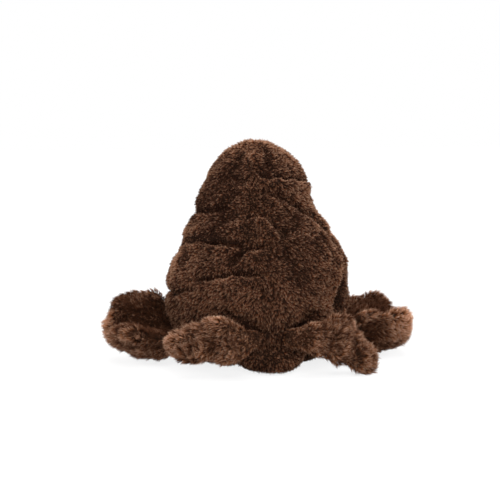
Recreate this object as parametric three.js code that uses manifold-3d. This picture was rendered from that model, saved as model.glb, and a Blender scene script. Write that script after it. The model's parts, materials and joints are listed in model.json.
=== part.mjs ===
// Plush walrus dog toy, sitting upright on a flat seat, with a squeaker in its stuffing.
// Millimetres and degrees. Z is up, the toy faces +Y and its right-hand flippers are on +X.
import * as THREE from "three";
import { mergeVertices } from "three/addons/utils/BufferGeometryUtils.js";
import Module from "manifold-3d";

const wasm = await Module();
wasm.setup();

// Cloth and fits
const gap = 0.3; // clearance between neighbouring pieces
const plush = 4; // body cloth, backing and pressed pile together
const flipperPlush = 3;

// Body and head, one swelling form cut at the neck
const baseRadius = 42; // flat seat
const hipRadius = 77.5;
const hipHeight = 54;
const shoulderRadius = 66.5;
const shoulderHeight = 103;
const neckRadius = 52;
const neckHeight = 134;
const toyHeight = 188;
const crownTaper = 1.3; // 2 makes the crown an ellipse, less makes it more pointed
const depthRatio = 0.95; // depth of the form over its width
const leanForward = 16; // how far the crown leans over the belly
const baseSeamHeight = 9;
const sideSeamDepth = 6; // Y of the seams between the back and the belly

// How far each side stands out from the round form, by share of the height
const leftTrim = [
  [0.32, 0], [0.44, 1], [0.48, -2], [0.52, -5], [0.6, -5], [0.66, -2], [0.71, 0], [0.78, -2], [0.86, -1],
];
const rightTrim = [
  [0.32, 0], [0.4, 4], [0.46, 6.5], [0.51, 4.5], [0.57, 0], [0.65, -2], [0.71, 0], [0.8, 0], [0.88, 2],
];

// Stub of a tail, low on the back
const tailOut = 15;
const tailSpread = 30; // degrees to each side
const tailRise = 3;
const tailHalf = 11;

// Main folds of the cloth, each a line of degrees round from the middle of the back and shares of height
const foldPress = 0.7; // share of the cloth that a fold presses in
const foldRoll = 1.6; // how far the cloth swells beside a fold
const foldHalf = 4; // half width of a fold
const folds = [
  [[-104, 0.55], [-66, 0.575], [-33, 0.578], [-14, 0.564]],
  [[-60, 0.404], [-35, 0.426], [-21, 0.444], [-5, 0.431]],
  [[-112, 0.33], [-76, 0.337], [-53, 0.378]],
  [[-30, 0.473], [-23, 0.518], [-10, 0.552], [-3, 0.559]],
  [[-38, 0.968], [-19, 0.924], [-10, 0.874], [12, 0.835]],
  [[6, 0.83], [40, 0.841], [75, 0.814], [92, 0.793]],
  [[-68, 0.84], [-40, 0.845], [-9, 0.822]],
  [[46, 0.67], [60, 0.621], [74, 0.564]],
  [[-4, 0.685], [4, 0.657], [8, 0.58]],
  [[70, 0.574], [66, 0.426], [50, 0.293]],
];

// Neck, where the head rolls on the stuffing
const neckDrop = 26; // pivot below the neck crease
const neckLip = 1.5; // rim of the head that overhangs the body
const neckGap = 0.8;
const neckOpening = 24; // radius left open for stuffing at the top of the body's cloth
const nodLimit = 8;

// Face
const padRadiusX = 18.5;
const padRadiusY = 25;
const padRadiusZ = 17;
const padSpread = 15;
const padShare = 0.3148; // height of the pads' middle up the head, as a share of it
const padOut = 4; // centre of a pad in front of the face
const noseRadiusX = 11;
const noseRadiusY = 8;
const noseRadiusZ = 7.5;
const noseRise = 12; // above the middle of the pads
const noseOut = 10;
const eyeRadiusX = 5.5;
const eyeRadiusY = 3.5;
const eyeRadiusZ = 6.5;
const eyeShare = 0.6667; // height of the eyes up the head, as a share of it
const eyeAngle = 66; // round the head from its right-hand side
const tuskLength = 50;
const tuskRadius = 8;
const tuskTipRadius = 3;
const tuskCurve = 5; // how far the tip bends forward
const tuskLean = 9;
const tuskSpread = 14;
const tuskForward = 13; // root in front of the middle of the pads

// Front flippers
const frontLength = 57;
const frontRootHalf = 21;
const frontTipStart = 36;
const frontSquareness = 5; // 2 rounds a tip as an ellipse, more makes it squarer
const frontHalfThickness = 10;
const frontRootRadius = 8;
const frontRootHeight = 15;
const frontRootAngle = 1; // forward of the toy's side

// Rear flippers
const rearLength = 72;
const rearRootHalf = 9;
const rearTipStart = 46;
const rearSquareness = 2.8;
const rearHalfThickness = 9.5;
const rearRootRadius = 7.5;
const rearRootHeight = 32;
const rearRootAngle = 11; // round from the middle of the back
const rearSeatRise = 3; // where the upright root touches the hip, above the root's middle

// How each flipper is set: half widths to its lower or rear edge and to its other edge, its bends,
// how much narrower its end is, the shares of its length over which it opens and turns up,
// how much further it reaches, and how far its sides lean in as it turns up, from 0 to 1
const frontLeftSet = {
  near: 37, far: 53, nearCurl: 76, farCurl: 86, roll: 7, turn: 36,
  droop: 0, narrow: 0, open: 0.14, turnFrom: 0.15, extra: 0, leanIn: 0.4,
};
const frontRightSet = {
  near: 46, far: 52, nearCurl: 100, farCurl: 80, roll: 5, turn: 24,
  droop: 0, narrow: 0, open: 0.14, turnFrom: 0.2, extra: 5, leanIn: 0.5,
};
const rearLeftSet = {
  near: 16.5, far: 17, nearCurl: 22, farCurl: 25, roll: -22, turn: 0,
  droop: 6, narrow: 0, open: 0.62, turnFrom: 0, extra: 0, leanIn: 1,
};
const rearRightSet = {
  near: 19, far: 18.5, nearCurl: 20, farCurl: 30, roll: -20, turn: 14,
  droop: 78, narrow: 0.25, open: 0.62, turnFrom: 0, extra: 7, leanIn: 1,
};
const edgeHalf = 3.6; // half thickness at a flipper's sewn edge
const fillLeast = 0.5; // thinnest half of a flipper's stuffing
const bellyShare = 0.5; // share of the length over which its stuffing thickens
const droopShare = 0.6; // share of the way to the tip at which a flipper begins to droop
const rootShare = 0.98; // how far the cloth reaches round the root
const tipShare = 0.97; // how far it reaches round the tip
const stepGrowth = 1.25; // 1 spaces the steps evenly, more draws them to the root
const bendSteps = 60; // pieces of a flipper's bent middle line
const flipperSteps = 10; // along
const flipperRows = 6; // across

// Squeaker, standing in its pouch in the middle of the stuffing
const squeakerMiddle = 62; // height of its middle above the seat
const squeakerRadius = 21;
const squeakerWall = 1.2;
const squeakerBaseHeight = 11;
const squeakerBellowsHeight = 9;
const squeakerCapHeight = 8;
const bellowsFolds = 3;
const bellowsFoldDepth = 2.4;
const bellowsWall = 0.8;
const plugRadius = 5;
const plugFlange = 2;
const plugFlangeHeight = 1.5;
const plugBore = 2.2;
const reedLength = 8;
const reedWidth = 3;
const reedThickness = 0.4;
const reedRise = 0.5; // foot of the reed above the bottom of the plug
const pouchWall = 0.8;
const pouchMouth = 9;

// Roundness of the meshes
const skinSides = 32;
const skinRows = 14; // up the flank of the outer skin
const innerRows = 6;
const innerSides = 16;
const neckSides = 20;
const padSides = 12;
const smallSides = 10;
const squeakerSides = 16;

const squeakerHeight = squeakerBaseHeight + squeakerBellowsHeight + squeakerCapHeight;
const squeakerBottom = squeakerMiddle - squeakerHeight / 2;
const headHeight = toyHeight - neckHeight;
const padHeight = neckHeight + padShare * headHeight;
const eyeHeight = neckHeight + eyeShare * headHeight;
const far = 2 * (toyHeight + hipRadius); // reach of a cutting block

function material(color, roughness) {
  return new THREE.MeshStandardMaterial({ color, roughness, metalness: 0 });
}

const brownPlush = material("#5a3c2c", 0.95);
const flipperBrown = material("#6d4a36", 0.95);
const tanPlush = material("#a98262", 0.95);
const felt = material("#e4d8c2", 0.9);
const thread = material("#1b1614", 0.6);
const fibre = material("#e9e7e2", 1);
const pouchCloth = material("#d8d3c8", 0.95);
const squeakerPlastic = material("#e8e4da", 0.45);

const smooth = (t) => THREE.MathUtils.smoothstep(t, 0, 1);
const rad = THREE.MathUtils.degToRad;

// One closed mesh that faces out, with its doubled vertices and collapsed faces removed
function closed(geometry) {
  geometry.deleteAttribute("normal");
  geometry.deleteAttribute("uv");
  const merged = mergeVertices(geometry, 1e-4);
  const p = merged.attributes.position;
  const old = merged.index.array;
  const faces = [];
  const a = new THREE.Vector3();
  const b = new THREE.Vector3();
  const c = new THREE.Vector3();
  let volume = 0;
  for (let i = 0; i < old.length; i += 3) {
    const [i0, i1, i2] = [old[i], old[i + 1], old[i + 2]];
    if (i0 === i1 || i1 === i2 || i2 === i0) continue;
    a.fromBufferAttribute(p, i0);
    b.fromBufferAttribute(p, i1);
    c.fromBufferAttribute(p, i2);
    volume += a.dot(b.cross(c));
    faces.push(i0, i1, i2);
  }
  if (volume < 0) faces.reverse();
  merged.setIndex(faces);
  return merged;
}

function solid(geometry) {
  const g = closed(geometry);
  const vertProperties = new Float32Array(g.attributes.position.array);
  const triVerts = new Uint32Array(g.index.array);
  return new wasm.Manifold(new wasm.Mesh({ numProp: 3, vertProperties, triVerts }));
}

function geometryOf(body) {
  const mesh = body.getMesh();
  const g = new THREE.BufferGeometry();
  g.setAttribute("position", new THREE.Float32BufferAttribute(mesh.vertProperties, 3));
  g.setIndex(Array.from(mesh.triVerts));
  return g;
}

// A block that fills everything on one side of a plane square to an axis
function side(axis, from, sign) {
  const g = new THREE.BoxGeometry(far, far, far);
  const shift = new THREE.Vector3();
  shift[axis] = from + (sign * far) / 2;
  g.translate(shift.x, shift.y, shift.z);
  return solid(g);
}

function ellipsoid(centre, rx, ry, rz, sides) {
  const g = new THREE.SphereGeometry(1, sides, Math.round(sides * 0.7));
  g.rotateX(Math.PI / 2);
  g.scale(rx, ry, rz);
  g.translate(centre.x, centre.y, centre.z);
  return solid(g);
}

// A profile of radius and height turned round the upright axis
function turned(points, sides) {
  const g = new THREE.LatheGeometry(points, sides);
  g.rotateX(Math.PI / 2);
  return g;
}

// Half outline of the stuffed form, drawn in by an inset, with a number of steps up its flank
function formOutline(inset, rows) {
  const points = [new THREE.Vector2(0, inset)];
  for (let i = 0; i <= 5; i++) {
    const t = rad(18 * i);
    const r = baseRadius + (hipRadius - baseRadius) * Math.sin(t);
    points.push(new THREE.Vector2(r - inset, hipHeight - (hipHeight - inset) * Math.cos(t)));
  }
  const flank = new THREE.SplineCurve([
    new THREE.Vector2(hipRadius, hipHeight),
    new THREE.Vector2(shoulderRadius, shoulderHeight),
    new THREE.Vector2(neckRadius, neckHeight),
  ]);
  for (const p of flank.getPoints(rows).slice(1)) points.push(new THREE.Vector2(p.x - inset, p.y));
  const crownRows = 4 + Math.round(rows / 2);
  for (let i = 1; i <= crownRows; i++) {
    const t = Math.sin((i * Math.PI) / (2 * crownRows));
    const r = (neckRadius - inset) * Math.sqrt(Math.max(0, 1 - Math.pow(t, crownTaper)));
    points.push(new THREE.Vector2(r, neckHeight + (toyHeight - inset - neckHeight) * t));
  }
  return points;
}

function lean(z) {
  return leanForward * smooth((z - hipHeight) / (toyHeight - hipHeight));
}

// Value at a place along a list of places and values
function lookUp(list, at) {
  const k = list.findIndex(([place]) => place > at);
  if (k === 0) return list[0][1];
  if (k < 0) return list[list.length - 1][1];
  const [[a, from], [b, to]] = [list[k - 1], list[k]];
  return THREE.MathUtils.lerp(from, to, (at - a) / (b - a));
}

// Broad swellings of the form: its sides and its tail
function swelling(angle, z) {
  const beside = Math.sin(rad(angle));
  const out = beside ** 2 * lookUp(beside < 0 ? leftTrim : rightTrim, z / toyHeight);
  return out + tailOut * Math.exp(-((angle / tailSpread) ** 2) - ((z - tailRise) / tailHalf) ** 2);
}

// Dents along the folds, with the cloth swollen on both sides of each
function folding(angle, z) {
  const onCloth = ([degrees, height]) => new THREE.Vector3(rad(degrees) * shoulderRadius, height, 0);
  const here = onCloth([angle, z]);
  const nearest = new THREE.Vector3();
  const line = new THREE.Line3();
  let dent = 0;
  let roll = 0;
  for (const fold of folds) {
    const path = fold.map(([degrees, share]) => onCloth([degrees, share * toyHeight]));
    let away = Infinity;
    for (let k = 1; k < path.length; k++) {
      line.set(path[k - 1], path[k]).closestPointToPoint(here, true, nearest);
      away = Math.min(away, nearest.distanceTo(here) / foldHalf);
    }
    dent = Math.max(dent, Math.exp(-(away ** 2)));
    roll = Math.max(roll, Math.exp(-((away - 2.2) ** 2)));
  }
  return foldRoll * roll * (1 - dent) - foldPress * plush * dent;
}

// The form, with the folds only in its outer skin
function stuffedForm(inset, outer) {
  const g = turned(formOutline(inset, outer ? skinRows : innerRows), outer ? skinSides : innerSides);
  const p = g.attributes.position;
  for (let i = 0; i < p.count; i++) {
    const [x, y, z] = [p.getX(i), p.getY(i), p.getZ(i)];
    const r = Math.hypot(x, y);
    const angle = THREE.MathUtils.radToDeg(Math.atan2(x, -y));
    const push = swelling(angle, z) + (outer ? folding(angle, z) : 0);
    const grow = 1 + (push * Math.min(1, r / neckRadius)) / Math.max(r, gap);
    p.setXYZ(i, x * grow, y * grow * depthRatio + lean(z), z);
  }
  return solid(g);
}

const skinOutline = formOutline(0, skinRows);

function formRadius(z) {
  const k = skinOutline.findIndex((p, i) => i > 1 && p.y >= z);
  const [a, b] = [skinOutline[k - 1], skinOutline[k]];
  return THREE.MathUtils.lerp(a.x, b.x, (z - a.y) / (b.y - a.y));
}

// Point on the form at an angle round from +X, and the way out of the cloth there
function skinPoint(angle, z) {
  const at = (t, h) => {
    const r = formRadius(h);
    return new THREE.Vector3(r * Math.cos(t), r * Math.sin(t) * depthRatio + lean(h), h);
  };
  const t = rad(angle);
  const round = at(t + 0.02, z).sub(at(t - 0.02, z));
  const up = at(t, z + 1).sub(at(t, z - 1));
  return { point: at(t, z), normal: round.cross(up).normalize() };
}

const neckPivot = new THREE.Vector3(0, lean(neckHeight), neckHeight - neckDrop);
const neckBall = Math.hypot(formRadius(neckHeight) * depthRatio - neckLip, neckDrop);
const shoulderCut = neckHeight - formRadius(neckHeight) * Math.sin(rad(nodLimit)) - neckGap;

// Round about the nodding axis, and as much wider as the form is
function ball(radius) {
  return ellipsoid(neckPivot, radius / depthRatio, radius, radius, neckSides);
}

// The body ends in a dome that the head sits over
function bodyForm(inset, outer) {
  const dome = ball(neckBall - neckGap - inset);
  return stuffedForm(inset, outer).intersect(dome.add(side("z", shoulderCut - inset, -1)));
}

function squeakerPocket() {
  const wall = pouchWall + 2 * gap;
  const g = new THREE.CylinderGeometry(1, 1, squeakerHeight + 2 * wall, squeakerSides);
  g.scale(squeakerRadius + wall, 1, squeakerRadius + wall);
  g.rotateX(Math.PI / 2);
  g.translate(0, 0, squeakerMiddle);
  return solid(g);
}

function bodyPieces(add) {
  const throat = new THREE.CylinderGeometry(neckOpening, neckOpening, toyHeight, innerSides);
  throat.rotateX(Math.PI / 2);
  throat.translate(neckPivot.x, neckPivot.y, toyHeight / 2 + neckPivot.z);
  const cloth = bodyForm(0, true).subtract(bodyForm(plush, false)).subtract(solid(throat));
  const walls = cloth.intersect(side("z", baseSeamHeight + gap / 2, 1));
  const back = walls.intersect(side("y", sideSeamDepth - gap / 2, -1));
  add("back_panel_left", geometryOf(back.intersect(side("x", -gap / 2, -1))), brownPlush);
  add("back_panel_right", geometryOf(back.intersect(side("x", gap / 2, 1))), brownPlush);
  add("belly_panel", geometryOf(walls.intersect(side("y", sideSeamDepth + gap / 2, 1))), brownPlush);
  add("base_panel", geometryOf(cloth.intersect(side("z", baseSeamHeight - gap / 2, -1))), brownPlush);

  const fill = bodyForm(plush + gap, false).subtract(squeakerPocket());
  add("body_fill_lower", geometryOf(fill.intersect(side("z", squeakerMiddle - gap / 2, -1))), fibre);
  add("body_fill_upper", geometryOf(fill.intersect(side("z", squeakerMiddle + gap / 2, 1))), fibre);
}

function headPieces(add) {
  const socket = ball(neckBall);
  const above = side("z", neckHeight + gap / 2, 1);
  const shell = stuffedForm(0, true).subtract(stuffedForm(plush, false));
  const cloth = shell.intersect(above).subtract(socket);
  const back = cloth.intersect(side("y", neckPivot.y - gap / 2, -1));
  add("head_panel_left", geometryOf(back.intersect(side("x", -gap / 2, -1))), brownPlush);
  add("head_panel_right", geometryOf(back.intersect(side("x", gap / 2, 1))), brownPlush);
  add("face_panel", geometryOf(cloth.intersect(side("y", neckPivot.y + gap / 2, 1))), brownPlush);
  const fill = stuffedForm(plush + gap, false).intersect(above).subtract(socket);
  add("head_fill", geometryOf(fill), fibre);
}

function padCentre(sign) {
  const front = skinPoint(90, padHeight).point;
  return new THREE.Vector3(sign * padSpread, front.y + padOut, padHeight);
}

function pad(sign, grow) {
  return ellipsoid(padCentre(sign), padRadiusX + grow, padRadiusY + grow, padRadiusZ + grow, padSides);
}

function facePieces(add) {
  const head = stuffedForm(-gap, true);
  for (const [name, sign] of [["left", -1], ["right", 1]]) {
    const half = pad(sign, 0).subtract(head).intersect(side("x", (sign * gap) / 2, sign));
    add(`muzzle_pad_${name}`, geometryOf(half), tanPlush);
    const at = skinPoint(sign > 0 ? eyeAngle : 180 - eyeAngle, eyeHeight);
    const bead = ellipsoid(at.point, eyeRadiusX, eyeRadiusY, eyeRadiusZ, smallSides).subtract(head);
    add(`eye_${name}`, geometryOf(bead), thread);
  }
  const middle = padCentre(0);
  middle.y += noseOut;
  middle.z += noseRise;
  const button = ellipsoid(middle, noseRadiusX, noseRadiusY, noseRadiusZ, padSides);
  const nose = button.subtract(head).subtract(pad(-1, gap)).subtract(pad(1, gap));
  add("nose", geometryOf(nose), thread);
}

// Middle of the round root of a tusk, which rolls under its muzzle pad
function tuskRoot(sign) {
  const centre = padCentre(sign);
  const x = sign * (tuskSpread - padSpread);
  const share = 1 - (x / padRadiusX) ** 2 - (tuskForward / padRadiusY) ** 2;
  const z = -padRadiusZ * Math.sqrt(Math.max(0, share));
  const normal = new THREE.Vector3(x / padRadiusX ** 2, tuskForward / padRadiusY ** 2, z / padRadiusZ ** 2);
  return centre.add(new THREE.Vector3(x, tuskForward, z)).add(normal.setLength(tuskRadius + gap));
}

function tuskPieces(add) {
  for (const [name, sign] of [["left", -1], ["right", 1]]) {
    const outline = [];
    for (let i = 0; i <= 4; i++) {
      const t = rad(22.5 * i);
      outline.push(new THREE.Vector2(tuskRadius * Math.sin(t), tuskRadius * Math.cos(t)));
    }
    const reach = tuskLength - tuskTipRadius;
    for (let i = 1; i <= 5; i++) {
      const t = i / 5;
      outline.push(new THREE.Vector2(THREE.MathUtils.lerp(tuskRadius, tuskTipRadius, t), -reach * t));
    }
    for (let i = 1; i <= 3; i++) {
      const t = rad(30 * i);
      outline.push(new THREE.Vector2(tuskTipRadius * Math.cos(t), -reach - tuskTipRadius * Math.sin(t)));
    }
    const g = turned(outline, smallSides);
    const p = g.attributes.position;
    for (let i = 0; i < p.count; i++) {
      const t = Math.max(0, -p.getZ(i) / tuskLength);
      p.setY(i, p.getY(i) + tuskCurve * t * t);
    }
    g.rotateX(rad(tuskLean));
    const root = tuskRoot(sign);
    g.translate(root.x, root.y, root.z);
    add(`tusk_${name}`, closed(g), felt);
  }
}

// A front flipper leaves the side of the hip square to the cloth
function frontRoot(sign) {
  const skin = skinPoint(sign > 0 ? frontRootAngle : 180 - frontRootAngle, frontRootHeight);
  const out = new THREE.Vector3(skin.normal.x, skin.normal.y, 0).normalize();
  const up = new THREE.Vector3(0, 0, 1);
  const along = sign > 0 ? up.clone().cross(out) : out.clone().cross(up);
  const centre = skin.point.addScaledVector(skin.normal, frontRootRadius + gap);
  return { centre, out, along, up, hinge: out.clone().cross(up) };
}

// A rear flipper stands along the back of the hip, which its upright root touches a little above the middle
function rearRoot(sign) {
  const skin = skinPoint(-90 + sign * rearRootAngle, rearRootHeight + rearSeatRise);
  const up = new THREE.Vector3(skin.normal.x, skin.normal.y, 0).normalize();
  const along = new THREE.Vector3(0, 0, 1);
  const out = along.clone().cross(up).multiplyScalar(sign);
  const centre = skin.point.setZ(rearRootHeight).addScaledVector(up, rearRootRadius + gap);
  return { centre, out, along, up, hinge: out.clone().cross(up) };
}

const frontShape = {
  length: frontLength,
  rootHalf: frontRootHalf,
  tipStart: frontTipStart,
  squareness: frontSquareness,
  half: frontHalfThickness,
  rootRadius: frontRootRadius,
};
const rearShape = {
  length: rearLength,
  rootHalf: rearRootHalf,
  tipStart: rearTipStart,
  squareness: rearSquareness,
  half: rearHalfThickness,
  rootRadius: rearRootRadius,
};

// Middle surface of a flipper, at a distance s from its hinge and a share q of its half width
function blade(root, shape, set) {
  const line = [new THREE.Vector3()];
  const droopStart = shape.tipStart * droopShare;
  const turnStart = shape.length * set.turnFrom;
  const droopAt = (s) => smooth((s - droopStart) / (shape.length - droopStart));
  const heading = (s) => {
    const drop = -rad(set.droop) * droopAt(s);
    const rise = rad(set.turn) * Math.max(0, (s - turnStart) / (shape.length - turnStart));
    return { drop, rise };
  };
  const step = shape.length / bendSteps;
  for (let i = 0; i < bendSteps; i++) {
    const { drop, rise } = heading((i + 0.5) * step);
    const level = Math.cos(drop);
    const way = new THREE.Vector3(level * Math.cos(rise), Math.sin(drop), level * Math.sin(rise));
    line.push(line[i].clone().addScaledVector(way, step));
  }
  const middle = (s) => {
    if (s <= 0) return new THREE.Vector3(s, 0, 0);
    const k = Math.min(bendSteps - 1, Math.floor(s / step));
    return line[k].clone().lerp(line[k + 1], s / step - k);
  };
  const tip = (s) => THREE.MathUtils.clamp((s - shape.tipStart) / (shape.length - shape.tipStart), 0, 1);
  const point = (s, q) => {
    const open = smooth(s / (shape.length * set.open));
    const full = THREE.MathUtils.lerp(shape.rootHalf, q < 0 ? set.near : set.far, open);
    const narrow = 1 - set.narrow * droopAt(s);
    const width = full * narrow * Math.sqrt(1 - tip(s) ** shape.squareness);
    const bend = Math.max(1e-3, rad(q < 0 ? set.nearCurl : set.farCurl) * open);
    const across = (Math.sign(q) * width * Math.sin(bend * Math.abs(q))) / bend;
    const lift = (width * (1 - Math.cos(bend * Math.abs(q)))) / bend;
    const roll = rad(set.roll) * open;
    const y = across * Math.cos(roll) - lift * Math.sin(roll);
    const z = across * Math.sin(roll) + lift * Math.cos(roll);
    const { drop, rise } = heading(s);
    const local = middle(s);
    local.x -= Math.sin(drop) * y + set.leanIn * Math.sin(rise) * z;
    local.y += Math.cos(drop) * y;
    local.z += Math.cos(rise) * z;
    const world = root.centre.clone().addScaledVector(root.out, local.x);
    return world.addScaledVector(root.along, local.y).addScaledVector(root.up, local.z);
  };
  const half = (s, q) => {
    const round = Math.sqrt(Math.max(0, shape.rootRadius ** 2 - Math.min(0, s) ** 2));
    const belly = THREE.MathUtils.lerp(round, shape.half, smooth(s / (shape.length * bellyShare)));
    const rim = Math.sqrt((1 - q * q) * (1 - tip(s) ** shape.squareness));
    return Math.min(round, edgeHalf) + (belly - Math.min(round, edgeHalf)) * rim;
  };
  const hand = Math.sign(root.out.clone().cross(root.along).dot(root.up));
  const normal = (s, q) => {
    const lengthwise = point(s + 0.4, q).sub(point(s - 0.4, q));
    const crosswise = point(s, Math.min(1, q + 0.02)).sub(point(s, Math.max(-1, q - 0.02)));
    return lengthwise.cross(crosswise).setLength(hand);
  };
  return { point, half, normal };
}

// A closed sheet between two heights over the blade, on part of its grid
function sheet(grid, from, to, lower, upper) {
  const positions = [];
  const index = [];
  const [i0, j0] = from;
  const [i1, j1] = to;
  const rows = j1 - j0 + 1;
  const count = (i1 - i0 + 1) * rows;
  for (const height of [lower, upper]) {
    for (let i = i0; i <= i1; i++) {
      for (let j = j0; j <= j1; j++) {
        const node = grid[i][j];
        const p = node.point.clone().addScaledVector(node.normal, height(node));
        positions.push(p.x, p.y, p.z);
      }
    }
  }
  const quad = (a, b, c, d) => index.push(a, b, d, b, c, d);
  for (let i = 0; i < i1 - i0; i++) {
    for (let j = 0; j < j1 - j0; j++) {
      const a = i * rows + j;
      quad(a, a + rows, a + rows + 1, a + 1);
      index.push(count + a, count + a + 1, count + a + rows);
      index.push(count + a + rows, count + a + 1, count + a + rows + 1);
    }
  }
  const rim = [];
  for (let i = 0; i < i1 - i0; i++) rim.push(i * rows);
  for (let j = 0; j < j1 - j0; j++) rim.push((i1 - i0) * rows + j);
  for (let i = i1 - i0; i > 0; i--) rim.push(i * rows + rows - 1);
  for (let j = j1 - j0; j > 0; j--) rim.push(j);
  rim.forEach((a, k) => {
    const b = rim[(k + 1) % rim.length];
    quad(b, a, count + a, count + b);
  });
  const g = new THREE.BufferGeometry();
  g.setAttribute("position", new THREE.Float32BufferAttribute(positions, 3));
  g.setIndex(index);
  return closed(g);
}

function flipperPieces(add, name, root, usual, set) {
  const shape = { ...usual, length: usual.length + set.extra, tipStart: usual.tipStart + set.extra };
  const { point, half, normal } = blade(root, shape, set);
  const start = -rootShare * shape.rootRadius;
  const end = shape.tipStart + tipShare * (shape.length - shape.tipStart);
  const grid = [];
  for (let i = 0; i <= flipperSteps; i++) {
    const s = start + (end - start) * Math.pow(i / flipperSteps, stepGrowth);
    const row = [];
    for (let j = 0; j <= flipperRows; j++) {
      const q = -1 + (2 * j) / flipperRows;
      const filled = i > 1 && i < flipperSteps && j > 0 && j < flipperRows;
      const inner = filled ? Math.max(half(s, q) - flipperPlush, gap + fillLeast) : gap / 2;
      row.push({ point: point(s, q), normal: normal(s, q), half: half(s, q), inner });
    }
    grid.push(row);
  }
  const all = [flipperSteps, flipperRows];
  add(`${name}_upper`, sheet(grid, [0, 0], all, (n) => n.inner, (n) => n.half), flipperBrown);
  add(`${name}_lower`, sheet(grid, [0, 0], all, (n) => -n.half, (n) => -n.inner), flipperBrown);
  const core = [flipperSteps - 1, flipperRows - 1];
  add(`${name}_fill`, sheet(grid, [2, 1], core, (n) => gap - n.inner, (n) => n.inner - gap), fibre);
}

function squeakerPieces(add) {
  const v = (r, z) => new THREE.Vector2(r, squeakerBottom + z);
  const ring = (points) => closed(turned([...points, points[0]], squeakerSides));
  const r = squeakerRadius;
  const w = squeakerWall;
  const hole = plugRadius + gap;
  const rim = squeakerBaseHeight;
  const cup = [v(hole, 0), v(r, 0), v(r, rim), v(r - w, rim), v(r - w, w), v(hole, w)];
  add("squeaker_base", ring(cup), squeakerPlastic);

  const seat = w + gap;
  const flange = plugRadius + plugFlange;
  const head = seat + plugFlangeHeight;
  const plug = [v(plugBore, 0), v(plugRadius, 0), v(plugRadius, seat)];
  plug.push(v(flange, seat), v(flange, head), v(plugBore, head));
  add("squeaker_plug", ring(plug), squeakerPlastic);

  const reed = new THREE.BoxGeometry(reedWidth, reedThickness, reedLength);
  reed.translate(0, 0, squeakerBottom + reedRise + reedLength / 2);
  add("squeaker_reed", closed(reed), squeakerPlastic);

  const low = rim + gap;
  const high = rim + squeakerBellowsHeight - gap;
  const outer = [];
  const inner = [];
  for (let i = 0; i <= 2 * bellowsFolds; i++) {
    const z = low + ((high - low) * i) / (2 * bellowsFolds);
    const fold = i % 2 ? bellowsFoldDepth : 0;
    outer.push(v(r - fold, z));
    inner.unshift(v(r - fold - bellowsWall, z));
  }
  add("squeaker_bellows", ring([...outer, ...inner]), squeakerPlastic);

  const under = rim + squeakerBellowsHeight;
  const top = squeakerHeight;
  const cap = [v(0, top), v(r, top), v(r, under), v(r - w, under), v(r - w, top - w), v(0, top - w)];
  add("squeaker_cap", closed(turned(cap, squeakerSides)), squeakerPlastic);

  const inside = r + gap;
  const skin = inside + pouchWall;
  const floor = -gap - pouchWall;
  const roof = top + gap + pouchWall;
  const bag = [v(0, floor), v(skin, floor), v(skin, roof), v(pouchMouth, roof)];
  bag.push(v(pouchMouth, roof - pouchWall), v(inside, roof - pouchWall), v(inside, -gap), v(0, -gap));
  add("squeaker_pouch", closed(turned(bag, squeakerSides)), pouchCloth);
}

// Pivots and axes of the pieces that move
const sideways = new THREE.Vector3(1, 0, 0);
export const hinges = {
  neck: { centre: neckPivot, hinge: sideways },
  tusk_left: { centre: tuskRoot(-1), hinge: sideways },
  tusk_right: { centre: tuskRoot(1), hinge: sideways },
  front_flipper_left: frontRoot(-1),
  front_flipper_right: frontRoot(1),
  rear_flipper_left: rearRoot(-1),
  rear_flipper_right: rearRoot(1),
  squeaker_reed: { centre: new THREE.Vector3(0, 0, squeakerBottom + reedRise), hinge: sideways },
};

function walrus() {
  const group = new THREE.Group();
  group.name = "plush_walrus";
  const add = (name, geometry, cloth) => {
    const mesh = new THREE.Mesh(geometry, cloth);
    mesh.name = name;
    group.add(mesh);
  };
  bodyPieces(add);
  headPieces(add);
  facePieces(add);
  tuskPieces(add);
  flipperPieces(add, "front_flipper_left", frontRoot(-1), frontShape, frontLeftSet);
  flipperPieces(add, "front_flipper_right", frontRoot(1), frontShape, frontRightSet);
  flipperPieces(add, "rear_flipper_left", rearRoot(-1), rearShape, rearLeftSet);
  flipperPieces(add, "rear_flipper_right", rearRoot(1), rearShape, rearRightSet);
  squeakerPieces(add);
  return group;
}

export default walrus();
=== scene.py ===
import bmesh
import bpy
import json
import math
import numpy as np
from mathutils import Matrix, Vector
from mathutils.bvhtree import BVHTree
from mathutils.kdtree import KDTree


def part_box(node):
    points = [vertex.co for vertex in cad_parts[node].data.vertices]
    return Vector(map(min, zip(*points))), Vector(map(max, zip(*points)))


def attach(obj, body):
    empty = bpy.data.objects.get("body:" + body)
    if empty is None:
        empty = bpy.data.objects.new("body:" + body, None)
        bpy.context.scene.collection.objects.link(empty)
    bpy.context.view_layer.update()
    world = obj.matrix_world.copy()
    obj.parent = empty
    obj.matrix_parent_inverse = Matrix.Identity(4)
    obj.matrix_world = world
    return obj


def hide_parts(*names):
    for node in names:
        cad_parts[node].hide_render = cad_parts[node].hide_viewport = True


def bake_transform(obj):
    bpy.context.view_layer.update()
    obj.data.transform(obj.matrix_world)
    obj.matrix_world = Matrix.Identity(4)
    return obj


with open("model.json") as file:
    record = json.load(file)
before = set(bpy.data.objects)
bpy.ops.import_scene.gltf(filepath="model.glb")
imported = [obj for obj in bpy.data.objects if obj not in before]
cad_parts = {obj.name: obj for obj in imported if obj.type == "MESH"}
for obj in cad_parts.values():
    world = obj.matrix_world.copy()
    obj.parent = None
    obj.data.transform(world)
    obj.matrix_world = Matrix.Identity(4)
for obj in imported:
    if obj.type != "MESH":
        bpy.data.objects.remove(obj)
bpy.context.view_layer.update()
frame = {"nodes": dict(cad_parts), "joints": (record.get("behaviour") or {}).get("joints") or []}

scene = bpy.context.scene
scene.view_settings.view_transform = "Standard"
mm = 0.001
samePoint = 1e-6


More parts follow.
